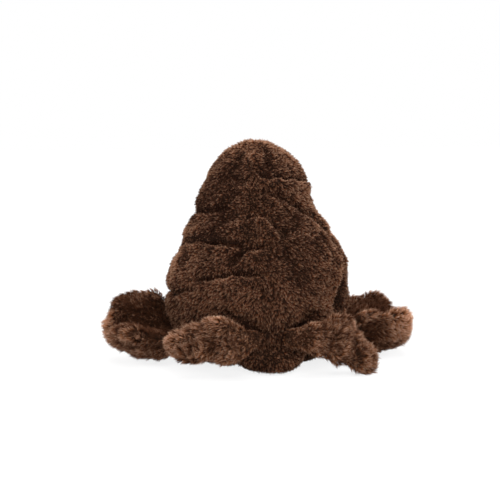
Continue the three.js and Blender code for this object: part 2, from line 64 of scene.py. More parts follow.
def aimAt(obj, place, target):
    obj.location = place
    obj.rotation_mode = "QUATERNION"
    obj.rotation_quaternion = (Vector(target) - Vector(place)).to_track_quat("-Z", "Y")


# camera
photoView = {
    "place": (-0.2053, -1.0562, 0.2287), "aim": (-0.0023, 0.0204, 0.0924), "lens": 91, "sensor": 36,
}
eye = bpy.data.objects.new("camera", bpy.data.cameras.new("camera"))
scene.collection.objects.link(eye)
aimAt(eye, photoView["place"], photoView["aim"])
eye.data.sensor_width = photoView["sensor"]
eye.data.lens = photoView["lens"]
scene.camera = eye
print("camera set")


class Wire:
    def __init__(self, tree, socket=None):
        self.tree = tree
        self.socket = socket

    def node(self, kind, settings=None, sockets=None, out=0):
        made = self.tree.nodes.new(kind)
        for key, value in (settings or {}).items():
            if key == "stops":
                while len(made.color_ramp.elements) < len(value):
                    made.color_ramp.elements.new(0.5)
                for stop, (at, colour) in zip(made.color_ramp.elements, value):
                    stop.position = at
                    stop.color = colour
            else:
                setattr(made, key, value)
        for key, value in (sockets or {}).items():
            if isinstance(value, Wire):
                self.tree.links.new(value.socket, made.inputs[key])
            else:
                made.inputs[key].default_value = value
        return Wire(self.tree, made.outputs[out] if made.outputs else None)

    def other(self, out):  # another output of the same node
        return Wire(self.tree, self.socket.node.outputs[out])

    def maths(self, operation, first, second):
        return self.node("ShaderNodeMath", {"operation": operation}, {0: first, 1: second})

    def __add__(self, more):
        return self.maths("ADD", self, more)

    def __mul__(self, times):
        return self.maths("MULTIPLY", self, times)

    __radd__ = __add__


def hexColour(text):  # written colour to the linear values that shaders take
    parts = [int(text[i:i + 2], 16) / 255 for i in (0, 2, 4)]
    return tuple(c / 12.92 if c < 0.04045 else ((c + 0.055) / 1.055) ** 2.4 for c in parts) + (1,)


def newMaterial(name):
    made = bpy.data.materials.new(name)
    made.use_nodes = True
    made.node_tree.nodes.clear()
    return made, Wire(made.node_tree)


def mixColour(start, share, *pair):
    first, second = [hexColour(c) if isinstance(c, str) else c for c in pair]
    return start.node("ShaderNodeMix", {"data_type": "RGBA"}, {0: share, 6: first, 7: second}, 2)


def objectPlace(start):
    return start.node("ShaderNodeTexCoord", None, None, 3)


def noise(start, place, scale, detail, roughness=0.5):
    sockets = {"Vector": place, "Scale": scale, "Detail": detail, "Roughness": roughness}
    return start.node("ShaderNodeTexNoise", None, sockets)


def bumps(start, height, strength, distance):
    sockets = {"Strength": strength, "Distance": distance, "Height": height}
    return start.node("ShaderNodeBump", None, sockets)


def closeMaterial(start, **sockets):
    sockets = {key.replace("_", " "): value for key, value in sockets.items()}
    shader = start.node("ShaderNodeBsdfPrincipled", None, sockets)
    start.node("ShaderNodeOutputMaterial", None, {"Surface": shader})


pileStops = (0.1, 0.5, 1)  # root, half way and tip; the ramps darken toward the root, partly painted shade down among the strands


def pileMaterial(name, dark, light):  # the colours at those stops on dark strands and on light ones
    made, start = newMaterial(name)
    across = start.node("ShaderNodeUVMap", {"uv_map": "OFBake"})
    shade = start.node("ShaderNodeSeparateXYZ", None, {0: across})
    along = shade.other(1)
    ramps = []
    for trio in (dark, light):
        stops = [(at, hexColour(colour)) for at, colour in zip(pileStops, trio)]
        ramps.append(start.node("ShaderNodeValToRGB", {"stops": stops}, {0: along}))
    closeMaterial(start, Base_Color=mixColour(start, shade, *ramps), Roughness=0.8, Specular_IOR_Level=0.08,
                  Sheen_Weight=0.12, Sheen_Roughness=0.4, Sheen_Tint=hexColour("a5764f"))
    return made


def patternMaterial(name, dark, light, pattern, scale, rough, bump, **more):
    made, start = newMaterial(name)
    share, wear, height = pattern(start, objectPlace(start), scale)  # mixes colours, roughens and stands out
    colour = mixColour(start, share, dark, light)
    closeMaterial(start, Base_Color=colour, Roughness=rough[0] + wear * rough[1],
                  Normal=bumps(start, height, *bump), **more)
    return made


def waves(start, way, **sockets):
    return start.node("ShaderNodeTexWave", {"bands_direction": way}, sockets)


def knit(start, place, scale):  # cloth that the pile stands on
    patch = noise(start, place, scale, 3.0)
    return patch, patch, start.node("ShaderNodeTexVoronoi", None, {"Vector": place, "Scale": 900.0})


def threads(way):
    def pattern(start, place, scale):
        sockets = {"Vector": place, "Scale": scale, "Distortion": 1.5, "Detail": 2.0, "Detail Scale": 3.0}
        return [waves(start, way, **sockets)] * 3
    return pattern


def felt(start, place, scale):
    fibres = noise(start, place, scale, 6.0, 0.7)
    return noise(start, place, 70.0, 2.0) * 0.6 + fibres * 0.4, fibres, fibres


def moulded(start, place, scale):
    cloud = noise(start, place, scale, 3.0)
    return cloud, cloud, noise(start, place, 1500.0, 2.0)


def woven(start, place, scale):
    warp, weft = [waves(start, way, Vector=place, Scale=scale, Distortion=0.4) for way in ("X", "Z")]
    return [warp * weft] * 3


dull = {"Specular_IOR_Level": 0.15}
knitted = {"rough": (0.8, 0.2), "bump": (0.5, 0.0004), **dull}
sewn = {"rough": (0.65, -0.2), "bump": (0.7, 0.0005), **dull}
brownPile = pileMaterial("brown_pile", ("080200", "1a0803", "321608"), ("1d0c05", "744127", "bf987c"))
flipperPile = pileMaterial("flipper_pile", ("0c0401", "2b1307", "4c2914"), ("281208", "965a35", "dcb499"))
muzzlePile = pileMaterial("muzzle_pile", ("4a3424", "8a684c", "a98362"), ("6a4c36", "b08c6b", "d6b795"))
backing = patternMaterial("brown_backing", "140b06", "2a190e", knit, 40.0, **knitted)
flipperBacking = patternMaterial("flipper_backing", "1c1009", "3a2415", knit, 60.0, **knitted)
muzzleBacking = patternMaterial("muzzle_backing", "6a4c36", "8a684c", knit, 60.0, **knitted)
noseThread = patternMaterial("nose_thread", "0d0a09", "2c2420", threads("X"), 330.0, **sewn)
eyeThread = patternMaterial("eye_thread", "0a0908", "231e1b", threads("Z"), 330.0, **sewn)
tuskFelt = patternMaterial("tusk_felt", "c9b896", "f3ead8", felt, 900.0, (0.8, 0.2), (0.6, 0.0005),
                           Sheen_Weight=0.3, Sheen_Roughness=0.6, **dull)
softPlastic = patternMaterial("squeaker_plastic", "d8d2c4", "efeadd", moulded, 60.0, (0.35, 0.2),
                              (0.2, 0.0002))
pouchWeave = patternMaterial("pouch_weave", "b9b2a3", "e2ddd1", woven, 420.0, (0.95, -0.1), (0.5, 0.0003),
                             Specular_IOR_Level=0.2)
sortWay = Vector((0.618, 1.732, 3.303))


def meshObject(name, bm):  # merged points come in any order, so they are sorted
    bm.verts.sort(key=lambda v: v.co.dot(sortWay))
    bm.faces.sort(key=lambda f: f.calc_center_median().dot(sortWay))
    mesh = bpy.data.meshes.new(name)
    bm.to_mesh(mesh)
    bm.free()
    obj = bpy.data.objects.new(name, mesh)
    scene.collection.objects.link(obj)
    return obj


def lathe(profile, sides, merge=samePoint):  # radius and height in millimetres, spun once round
    bm = bmesh.new()
    chain = [bm.verts.new((r * mm, 0, z * mm)) for r, z in profile]
    line = [bm.edges.new(pair) for pair in zip(chain, chain[1:])]
    bmesh.ops.spin(bm, geom=chain + line, cent=(0, 0, 0), axis=(0, 0, 1), dvec=(0, 0, 0),
                   angle=2 * math.pi, steps=sides, use_merge=True)
    bmesh.ops.remove_doubles(bm, verts=bm.verts, dist=merge)
    bmesh.ops.recalc_face_normals(bm, faces=bm.faces)
    return bm


def readPoints(obj, kind="co"):
    flat = np.empty(len(obj.data.vertices) * 3)
    obj.data.vertices.foreach_get(kind, flat)
    return flat.reshape(-1, 3)


def readNormals(obj):
    return readPoints(obj, "normal")


def writePoints(obj, points):
    obj.data.vertices.foreach_set("co", points.ravel())
    obj.data.update()


def smoothShade(obj, material):
    obj.data.polygons.foreach_set("use_smooth", [True] * len(obj.data.polygons))
    obj.data.materials.clear()
    obj.data.materials.append(material)


def step(t):
    t = np.clip(t, 0, 1)
    return t * t * (3 - 2 * t)


def rising(height, much, start, over):  # from 0 at the start up to much
    return much * step((height - start) / over)


def bell(far, width, much=1):  # much on the spot, and less with distance
    return much * np.exp(-(far / width) ** 2)


def fadeEnds(share, ends):  # 0 at both ends of a line and 1 along the rest
    return step(share / ends) * step((1 - share) / ends)


def unit(v):
    return v / np.maximum(np.linalg.norm(v, axis=-1, keepdims=True), 1e-12)


def mottle(points, size, seed, waves=9):  # soft patches from about -1 to 1
    rng = np.random.default_rng(seed)
    total = np.zeros(len(points))
    for _ in range(waves):
        way = unit(rng.normal(size=3)) * 2 * math.pi / (size * rng.uniform(0.7, 1.5))
        total += np.cos(points @ way + rng.uniform(0, 2 * math.pi))
    return total / math.sqrt(waves)


def clouds(points, layers, seed=0):  # layers of mottle as how much, size in millimetres and seed
    return sum(much * mottle(points, size, seed + extra) for much, size, extra in layers)


def pathDistance(spots, path):  # how far off a bent line is, to which side, and how far along it
    best = np.full(len(spots), 1e9)
    side = np.zeros(len(spots))
    share = np.zeros(len(spots))
    path = [np.array(p, float) for p in path]
    lengths = [np.linalg.norm(b - a) for a, b in zip(path, path[1:])]
    for k, (first, last) in enumerate(zip(path, path[1:])):
        way = last - first
        t = np.clip(((spots - first) @ way) / (way @ way), 0, 1)
        away = spots - first - t[:, None] * way
        far = np.linalg.norm(away, axis=1)
        nearer = far < best
        best[nearer] = far[nearer]
        side[nearer] = np.sign(way[0] * away[nearer, -1] - way[-1] * away[nearer, 0]) * far[nearer]
        share[nearer] = (sum(lengths[:k]) + t[nearer] * lengths[k]) / sum(lengths)
    return best, side, share


def spotDistance(points, spot):
    return np.linalg.norm(points - np.array(spot), axis=1)


def patchSum(points, patches):  # patches are a spot, a radius and how much
    return sum(bell(spotDistance(points, spot), *patch) for spot, *patch in patches)


def skinTree(skin):
    bm = bmesh.new()
    bm.from_mesh(skin.data)
    tree = BVHTree.FromBMesh(bm)
    bm.free()
    return tree


def depthIn(points, tree, reach=0.012):  # how far each point lies under a closed skin
    found = [tree.find_nearest(p, reach) for p in points]
    return np.array([-1 if f[0] is None else (f[0] - Vector(p)).dot(f[1]) for p, f in zip(points, found)])


# body and head, one stuffed skin, in millimetres and degrees
bodyShape = {
    "seat": 34, "hip": (77.5, 54), "shoulder": (66.5, 103), "neck": (52, 134), "top": 190, "taper": 1.3,
    "depth": 0.95, "lean": 16, "inset": 2.6, "sides": 240, "rows": {"seat": 16, "side": 22, "head": 36},
    "lumps": [(0.8, 36, 5), (0.5, 12, 6)], "patch": 2.2, "least": 1.5,
    "tail": {"out": 27, "wide": 28, "at": 3, "high": 11}, "crownShift": (2.6, 162, 22),
}
clothSpread = {"radius": 62, "aside": [(1.3, 13, 61)], "rise": [(1.1, 13, 62)]}  # lays the cloth flat
# where the rolls beside a fold and its sag stand and how wide they are, in widths of the fold; the shadow
# widths and the dark depth set the painted shade in folds and pits
foldForm = {
    "ends": 0.14, "over": (2.6, 2.1), "under": (-2.0, 1.7), "sag": (1.5, 1.4), "shadow": 1.15,
    "paintedShadeDepth": 6, "pit": (3, 2.4), "pitShadow": 2.6, "seam": (1.8, 1.5),
}
# folds as angle round from the middle of the back and height, then depth, width, the rolls over and under
# them and the sag
bodyFolds = [
    ([(-104, 129), (-92, 129.5), (-79, 131), (-64, 132), (-53, 132), (-44, 133.7), (-38, 134.8), (-30, 134)],
     4.4, 2.5, 2.4, 1.4, 2.2),
    ([(-104, 103), (-90, 104.5), (-76, 106), (-66, 108), (-55, 108.4), (-44, 108.8), (-33, 108.6),
      (-25, 107.8), (-14, 106)], 7.0, 2.9, 3.8, 1.8, 3.6),
    ([(-30, 89), (-28, 91), (-23, 97.4), (-16.7, 102.2), (-10.3, 103.7), (-3, 105)],
     3.2, 2.8, 0.0, 2.2, 0.0),
    ([(-60, 76), (-56, 77), (-45, 78.8), (-35, 80), (-28, 82.4), (-21, 83.4), (-14.7, 83.5), (-5, 81)],
     6.0, 2.8, 2.4, 2.8, 2.6),
    ([(-112, 62), (-95, 62.5), (-76.5, 63.4), (-63.5, 66.6), (-53, 71)], 6.5, 2.8, 3.0, 1.0, 3.2),
    ([(-94, 95), (-92.7, 84), (-86.7, 74), (-80, 65)], 2.4, 1.6, 1.5, 1.5, 0.0),
    ([(-79, 97), (-75.4, 84.8), (-73, 73.7), (-68, 66)], 2.4, 1.6, 1.5, 1.5, 0.0),
    ([(-105, 90), (-101, 78), (-97, 64)], 2.2, 1.6, 1.4, 1.4, 0.0),
    ([(-21, 176), (-19.3, 173.7), (-15.4, 168.2), (-10, 164.3), (-0.6, 160.3), (5.8, 157.5), (12, 157)],
     4.4, 2.3, 2.2, 2.0, 0.0),
    ([(6, 156), (24, 158.3), (39.8, 158.2), (57, 156.4), (75, 153), (92, 149)], 5.0, 2.2, 2.0, 2.6, 1.6),
    ([(-68, 158), (-60, 158.7), (-39.5, 158.8), (-25, 157.9), (-9, 154.5)], 2.4, 2.8, 1.6, 1.6, 1.2),
    ([(-34, 53), (-26, 51), (-19, 49), (-14, 43), (-8, 37), (-2, 30)], 3.2, 3.0, 1.0, 1.2, 0.6),
    ([(32, 52), (26, 48), (20, 44), (13, 36), (7, 30)], 2.6, 3.0, 1.0, 1.0, 0.4),
    ([(-26, 12), (-16, 17), (-5, 20), (7, 20), (18, 17), (27, 12)], 1.7, 2.6, 1.2, 1.0, 0.0),
    ([(41, 178), (40.4, 175.6), (45, 169.8), (54, 162)], 2.6, 1.9, 1.6, 1.4, 0.0),
    ([(-9, 150.5), (5.8, 148.5), (14.5, 144.3), (29.6, 137.4), (39.6, 130.4), (48.8, 125), (60, 116.7),
      (74, 106)], 3.6, 3.0, 2.8, 0.4, 0.0),
    ([(-8, 132), (-0.8, 128.2), (3.6, 123.5), (7.5, 117.6), (8.5, 109)], 2.8, 2.6, 0.2, 2.0, 0.0),
    ([(-11, 91), (-7.5, 85), (-5, 80.4), (-2.6, 74.8), (1, 64)], 2.0, 2.0, 0.9, 0.9, 0.0),
    ([(45.8, 114), (49.3, 104), (50, 93.3), (47.9, 83.8), (43, 70)], 4.4, 2.0, 2.2, 2.2, 0.0),
    ([(54, 118), (61, 109), (66, 99), (66, 90), (63, 82), (58, 72), (51, 60), (44, 48)],
     6.0, 2.3, 2.0, 1.6, 0.0),
    ([(58, 100), (58, 84), (55.5, 74), (52, 64), (44, 52)], 4.0, 1.9, 2.0, 2.0, 0.0),
    ([(86, 98), (81, 78), (73, 60), (62, 44)], 3.6, 2.0, 2.0, 2.0, 0.0),
]
# patches that are sunk and darker, or swollen and lighter, their colour painted shade and light, partly also
# pile lying flatter: angle, height, radius, how much
bodyPatches = [
    (-37, 169, 10, -1.6), (8.4, 168, 10, -1.7), (-33, 147, 10, -0.9), (18, 124, 14, -0.7),
    (12, 97.7, 9, -1.5), (-21.6, 98, 7, -0.9), (-24, 88, 8, -0.8), (20, 82, 9, -0.7), (-57, 137, 8, -0.6),
    (-54, 113, 9, -0.7), (-37, 115, 8, -0.5), (-27, 50, 7, -0.5), (-12, 42, 7, -0.7), (5, 31, 9, -0.7),
    (24, 48, 7, -0.5), (56, 146, 9, 0.7), (49, 120, 8, 0.7), (-18, 68, 17, 0.5), (-86, 83, 8, 0.8),
    (53, 88, 8, 0.5), (-5, 121, 7, 0.4), (-42, 96, 20, -0.3), (4, 62, 22, 0.5), (-8, 176, 7, 0.6),
    (-14, 160, 7, 0.4), (62, 170, 8, 0.6), (-70, 120, 8, 0.6), (-18, 178, 7, 0.5), (-32, 5, 10, -2.0),
    (36, 4, 8, -1.5),
]
# broad painted light and shade on the pile, written the same way
bodyPaintedLightAndShade = [
    (-56, 164, 13, -0.6), (-46, 142, 12, -0.8), (-40, 124, 12, -0.8), (-80, 127, 7, -0.6),
    (33, 113, 11, -0.8), (31, 127, 10, -0.5), (12, 80, 12, -0.4), (14, 172, 9, -0.8), (-33, 171, 8, -0.5),
    (50, 72, 9, 0.9), (42, 60, 8, 0.7), (-37, 58, 9, 0.8), (-24, 75, 9, 0.5), (-11, 87, 8, 0.5),
    (2, 96, 8, 0.7), (-7, 137, 9, 0.8), (11, 148, 9, 0.6), (52, 151, 8, 0.5), (-80, 127, 8, -0.5),
    (-84, 138, 9, -0.8), (-73, 165, 9, -0.7), (60, 46, 9, -1.0), (36, 57, 6, 0.6), (-14, 4, 8, -0.8),
    (-86, 112, 8, 0.9), (-90, 94, 8, 0.8), (-88, 82, 8, 0.5), (70, 119, 8, 1.2), (76, 105, 8, 1.0),
    (80, 92, 9, 1.0), (58, 98, 5, 0.7), (55, 84, 5, 0.8), (49, 74, 5, 0.8), (43, 62, 5, 0.6),
    (66, 76, 5, -0.9), (61, 66, 6, -1.0), (55, 55, 6, -1.0), (50, 47, 6, -0.6), (-69, 45, 8, -0.6),
    (-73, 127, 7, -0.6), (-44, 121, 7, -0.5), (9, 184, 7, 0.7), (-70, 141, 8, -0.6), (-58, 124, 8, -0.6),
    (-30, 147, 7, -0.5), (-28, 170, 6, -0.6), (-34, 126, 7, -0.5), (-76, 92, 7, -0.5), (2, 44, 9, -0.5),
    (40, 104, 8, -0.5), (40, 58, 7, 0.6), (-4, 126, 8, 0.6), (40, 178, 9, 1.0), (-50, 182, 9, 0.6),
    (50, 174, 8, 0.9), (72, 120, 8, 0.8), (-10, 187, 9, 0.9), (-30, 183, 9, 0.8), (-36, 176, 7, 0.5),
    (-84, 126, 7, -0.7), (-52, 122, 8, -0.6), (-72, 88, 8, -0.6), (38, 52, 7, 0.6), (20, 184, 7, -0.6),
    (-86, 112, 7, 0.5), (-72, 166, 8, -0.5), (-30, 167, 7, -0.5), (78, 105, 8, 0.6), (-66, 140, 12, -0.9),
    (-84, 127, 9, -0.9), (-36, 128, 9, -0.6), (-36, 145, 9, -0.6), (-72, 90, 9, -0.6), (38, 50, 8, 0.8),
    (-86, 88, 8, 0.8), (-84, 79, 8, 0.6), (56, 48, 8, -0.7), (54, 170, 8, 0.7), (-28, 186, 9, 0.8),
    (-52, 178, 8, 0.6), (-5, 185, 8, 0.6), (0, 36, 8, -0.6), (-12, 15, 7, 0.7), (16, 12, 8, 0.6),
    (20, 184, 8, -0.8), (25, 166, 7, -0.5), (-24, 148, 7, -0.5), (-24, 130, 7, -0.5), (50, 147, 8, 0.5),
    (80, 104, 8, 0.5), (72, 121, 9, 0.9), (-50, 179, 8, 0.6), (-28, 187, 8, 0.7), (-5, 187, 8, 0.5),
    (-86, 86, 8, 0.6), (58, 48, 8, -0.6), (80, 98, 9, 0.6), (76, 86, 8, 0.5), (62, 78, 8, 0.5),
    (-90, 86, 6, -0.4), (-22, 106, 7, 0.6), (58, 171, 8, 0.6), (-84, 128, 7, -0.5), (45, 184, 6, -0.6),
    (33, 151, 7, 0.6), (-84, 112, 7, 0.5), (-72, 48, 9, -0.8), (-82, 87, 8, 0.6), (84, 97, 8, 0.6),
    (55, 78, 8, 0.5), (70, 121, 8, 0.5), (-8, 2, 7, -0.8), (8, 2, 7, 0.6), (-18, 98, 7, -0.6),
    (-76, 147, 8, -0.5), (-52, 169, 8, -0.5), (-5, 186, 8, 0.5), (-26, 187, 8, 0.5), (50, 173, 8, 0.5),
]
bodyPits = [(-6, 133.2), (-15, 128.4), (-5.6, 104.5)]
# how far each side stands out at a height
bodyTrim = {
    -1: [
        (60, 0), (82, 1), (90, -1), (97, -3), (110, -3.2), (125, -3), (134, -2), (145, -2.4), (160, -1),
        (172, 1), (178, 2), (184, 0),
    ],
    1: [
        (60, 0.5), (76, 4), (86, 6.5), (95, 4.5), (103, 3.2), (110, 1.4), (128, -0.6), (142, -2),
        (152, 0.4), (166, 2.6), (178, 2), (184, 0),
    ],
}
backSeam = [
    (-6, 158), (-5, 145), (-5.6, 133), (-9.7, 123.6), (-7.8, 113.7), (-5.4, 104.5), (-5, 93), (-4.4, 79),
    (-3, 63), (-1.4, 45), (0, 20),
]


def bodyOutline(shape):  # radius and height, from the seat to the crown
    hip, shoulder, neck = (np.array(shape[k], float) for k in ("hip", "shoulder", "neck"))
    rows = shape["rows"]
    points = [(r, 0) for r in np.linspace(0, shape["seat"], rows["seat"])]
    for t in np.linspace(0, math.pi / 2, rows["side"])[1:]:
        points.append((shape["seat"] + (hip[0] - shape["seat"]) * math.sin(t), hip[1] * (1 - math.cos(t))))
    for a, b, c, d in ((hip, hip, shoulder, neck), (hip, shoulder, neck, neck)):  # a curve from b to c
        for t in np.linspace(0, 1, rows["side"])[1:]:
            v, w = (c - a) / 2, (d - b) / 2
            cubic, square = 2 * b - 2 * c + v + w, 3 * c - 3 * b - 2 * v - w
            points.append(tuple(cubic * t ** 3 + square * t * t + v * t + b))
    for t in np.sin(np.linspace(0, math.pi / 2, rows["head"])[1:]):
        r = neck[0] * math.sqrt(max(0, 1 - t ** shape["taper"]))
        points.append((r, neck[1] + (shape["top"] - neck[1]) * t))
    return points


def leanAt(z):
    return rising(z, bodyShape["lean"], bodyShape["hip"][1], bodyShape["top"] - bodyShape["hip"][1])


def aroundBody(points):  # angle from the middle of the back, height, and distance from the axis
    back = (leanAt(points[:, 2]) - points[:, 1]) / bodyShape["depth"]
    return np.degrees(np.arctan2(points[:, 0], back)), points[:, 2], np.hypot(points[:, 0], back)


def clothPath(path):
    return [(math.radians(a) * clothSpread["radius"], z) for a, z in path]


def onCloth(points):  # millimetres round the body and up it, with the lines a little unsteady
    angle, height, radius = aroundBody(points)
    aside, rise = (clouds(points, clothSpread[way]) for way in ("aside", "rise"))
    return np.stack([np.radians(angle) * clothSpread["radius"] + aside, height + rise], 1)


def patchAt(spots, patches):
    return patchSum(spots, [(*clothPath([patch[:2]]), *patch[2:]) for patch in patches])


def creaseAt(spots):  # painted shade and shorter pile of folds and pits, from 0 on open cloth to 1 in the deepest fold
    pits = [spotDistance(spots, spot) for spot in clothPath(bodyPits)]
    deep = bell(np.min(pits, axis=0), foldForm["pitShadow"])
    for path, depth, width, over, under, sag in bodyFolds:
        far, side, share = pathDistance(spots, clothPath(path))
        dark = bell(far, foldForm["shadow"] * width, depth / foldForm["paintedShadeDepth"])
        deep = np.maximum(deep, fadeEnds(share, foldForm["ends"]) * dark)
    return np.clip(deep, 0, 1)


def sewBody(shape):
    skin = meshObject("stuffed_skin", lathe(bodyOutline(shape), shape["sides"]))
    points = readPoints(skin) / mm
    points[:, 1] = points[:, 1] * shape["depth"] + leanAt(points[:, 2])
    writePoints(skin, points * mm)
    angle, height, radius = aroundBody(points)
    spots = onCloth(points)
    push = clouds(points, shape["lumps"]) - shape["inset"]
    drop = np.zeros(len(points))
    for path, depth, width, over, under, sag in bodyFolds:
        far, side, share = pathDistance(spots, clothPath(path))
        ends = fadeEnds(share, foldForm["ends"])
        for much, form in ((over, foldForm["over"]), (under, foldForm["under"])):
            push += ends * bell(side - form[0] * width, form[1] * width, much)
        push -= ends * bell(far, width, depth)
        drop += ends * bell(side - foldForm["sag"][0] * width, foldForm["sag"][1] * width, sag)
    push += shape["patch"] * patchAt(spots, bodyPatches)
    for spot in clothPath(bodyPits):
        push -= bell(spotDistance(spots, spot), *foldForm["pit"])
    push -= bell(pathDistance(spots, clothPath(backSeam))[0], *foldForm["seam"])
    for hand, trim in bodyTrim.items():
        beside = np.clip(np.sin(np.radians(angle)) * hand, 0, 1) ** 2
        push += beside * np.interp(height, *zip(*trim))
    points += readNormals(skin) * push[:, None]
    tail = shape["tail"]
    out = bell(angle, tail["wide"], tail["out"]) * bell(height - tail["at"], tail["high"])
    out *= step(radius / shape["seat"])
    points[:, 0] += out * np.sin(np.radians(angle))
    points[:, 1] -= out * np.cos(np.radians(angle))
    points[:, 2] -= drop
    points[:, 0] += rising(points[:, 2], *shape["crownShift"])
    points[:, 2] = np.maximum(points[:, 2], shape["least"])
    writePoints(skin, points * mm)
    smoothShade(skin, backing)
    return skin


bodySkin = sewBody(bodyShape)
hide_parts("back_panel_left", "back_panel_right", "belly_panel", "base_panel", "body_fill_lower",
            "body_fill_upper", "head_panel_left", "head_panel_right", "face_panel", "head_fill")
print("body skin", len(bodySkin.data.polygons))


# pile, one closed cone or spindle a strand
strandForm = {
    "slantSpread": (6, 12), "reachSpread": (0.7, 1.1), "tuftReach": (0.85, 1.15), "widthSpread": (0.8, 1.2),
    "middle": 0.45, "most": (1.5, 1.6), "tipsApart": 0.3, "middlesApart": 0.75, "middleGather": 0.3,
    "shades": (0.03, 0.97), "sideShade": 0.02, "lowest": (0.0006, 0.0003), "rooted": 0.0005,
    "coneRooted": 0.0003,
}


def strandMesh(name, corners, shade, cone):  # the UV map holds each strand's shade and the height along it
    count, each = corners.shape[:2]
    ends = [(2, 1, 0)] if cone else [(1, 0, 4), (2, 1, 4), (0, 2, 4)]
    faces = np.array([(0, 1, 3), (1, 2, 3), (2, 0, 3)] + ends)
    loops = (np.arange(count)[:, None, None] * each + faces[None]).reshape(-1)
    mesh = bpy.data.meshes.new(name)
    mesh.vertices.add(count * each)
    mesh.vertices.foreach_set("co", corners.ravel())
    mesh.loops.add(len(loops))
    mesh.loops.foreach_set("vertex_index", loops)
    mesh.polygons.add(count * len(faces))
    mesh.polygons.foreach_set("loop_start", np.arange(0, len(loops), 3))
    mesh.update(calc_edges=True)
    across = shade[:, None] + np.array([-1, 0, 1, 0, 0])[:each] * strandForm["sideShade"]
    heights = [0.05, 0.05, 0.05, 1.0] if cone else [0.45, 0.45, 0.45, 1.0, 0.0]
    along = np.broadcast_to(np.array(heights), across.shape)
    grid = np.stack([across, along], 2).reshape(-1, 2)[loops]
    mesh.uv_layers.new(name="OFBake").data.foreach_set("uv", grid.ravel())
    obj = bpy.data.objects.new(name, mesh)
    scene.collection.objects.link(obj)
    return obj


def growPile(name, skin, pile, comb, part):
    form = strandForm
    rng = np.random.default_rng(pile["seed"])
    points, normals = readPoints(skin), readNormals(skin)
    skin.data.calc_loop_triangles()
    tri = np.empty(len(skin.data.loop_triangles) * 3, int)
    skin.data.loop_triangles.foreach_get("vertices", tri)
    tri = tri.reshape(-1, 3)
    a, b, c = (points[tri[:, k]] for k in range(3))
    area = np.linalg.norm(np.cross(b - a, c - a), axis=1) / 2
    area = area * part((a + b + c) / 3)
    count = int(area.sum() * pile["perSquareMetre"])
    pick = np.searchsorted(np.cumsum(area) / area.sum(), rng.random(count))
    pick = np.minimum(pick, len(tri) - 1)
    u, v = rng.random((2, count))
    flip = u + v > 1
    u[flip], v[flip] = 1 - u[flip], 1 - v[flip]
    share = np.stack([1 - u - v, u, v], 1)[:, :, None]
    root = (points[tri[pick]] * share).sum(1)
    up = unit((normals[tri[pick]] * share).sum(1))
    lay, slant, reach, shade = comb(root)

    tufts = rng.choice(count, count // pile["perTuft"], replace=False)
    tree = KDTree(len(tufts))
    for i, k in enumerate(tufts):
        tree.insert(root[k], i)
    tree.balance()
    mine = np.array([tree.find(p)[1] for p in root])
    lead = tufts[mine]

    def spread(own, shared):  # what a strand draws for itself, and what it draws with its tuft
        return rng.normal(0, own, count) + rng.normal(0, shared, len(tufts))[mine]

    stray = math.radians(pile["stray"])
    turn = spread(stray, stray)
    lay = unit(lay - up * (lay * up).sum(1)[:, None])
    lay = lay * np.cos(turn)[:, None] + np.cross(up, lay) * np.sin(turn)[:, None]
    slant = np.radians(slant + spread(*form["slantSpread"]))
    reach = pile["length"] * reach * rng.uniform(*form["reachSpread"], count)
    reach *= rng.uniform(*form["tuftReach"], len(tufts))[mine]
    shade = np.clip(shade + spread(pile["fleck"], pile["tuftFleck"]), *form["shades"])

    def way(angle):
        return up * np.cos(angle)[:, None] + lay * np.sin(angle)[:, None]

    bend = math.radians(pile["bend"])
    low, high = form["middle"] * reach, (1 - form["middle"]) * reach
    middle = root + way(np.clip(slant - bend, 0, form["most"][0])) * low[:, None]
    tip = middle + way(np.clip(slant + bend, 0, form["most"][1])) * high[:, None]
    gather = pile["gather"]
    tip = tip * (1 - gather) + (tip[lead] + (root - root[lead]) * form["tipsApart"]) * gather
    less = gather * form["middleGather"]
    middle = middle * (1 - less) + (middle[lead] + (root - root[lead]) * form["middlesApart"]) * less
    middle[:, 2] = np.maximum(middle[:, 2], form["lowest"][0])
    tip[:, 2] = np.maximum(tip[:, 2], form["lowest"][1])

    axis = unit(tip - root)
    side = unit(np.cross(axis, up + 0.01))
    rise = np.cross(side, axis)
    spin = rng.uniform(0, 2 * math.pi, count)
    thick = pile["width"] / 2 * rng.uniform(*form["widthSpread"], count)
    cone = "cone" in pile  # a short strand is a cone with three sides, a long one a spindle
    belt = root - up * form["coneRooted"] if cone else middle
    corners = []
    for k in range(3):
        angle = spin + k * 2 * math.pi / 3
        ring = side * np.cos(angle)[:, None] + rise * np.sin(angle)[:, None]
        corners.append(belt + ring * thick[:, None])
    corners = np.stack(corners + ([tip] if cone else [tip, root - up * form["rooted"]]), 1)
    print(name, count, "strands")
    return strandMesh(name, corners, shade, cone)


def slantAndShade(points, nap, seed=0):
    slant = nap["slant"] + clouds(points, nap["slants"], seed)
    return slant, nap["shade"] + clouds(points, nap["tones"], seed)


# flippers, sewn pads that the cloth is blown out over
def applyAll(obj):
    made = bpy.data.meshes.new_from_object(obj.evaluated_get(bpy.context.evaluated_depsgraph_get()))
    old = obj.data
    obj.modifiers.clear()
    obj.data = made
    bpy.data.meshes.remove(old)


def relax(obj, times):
    bm = bmesh.new()
    bm.from_mesh(obj.data)
    for _ in range(times):
        bmesh.ops.smooth_vert(bm, verts=bm.verts, factor=0.5, use_axis_x=True, use_axis_y=True,
                              use_axis_z=True)
    bm.to_mesh(obj.data)
    bm.free()
    obj.data.update()


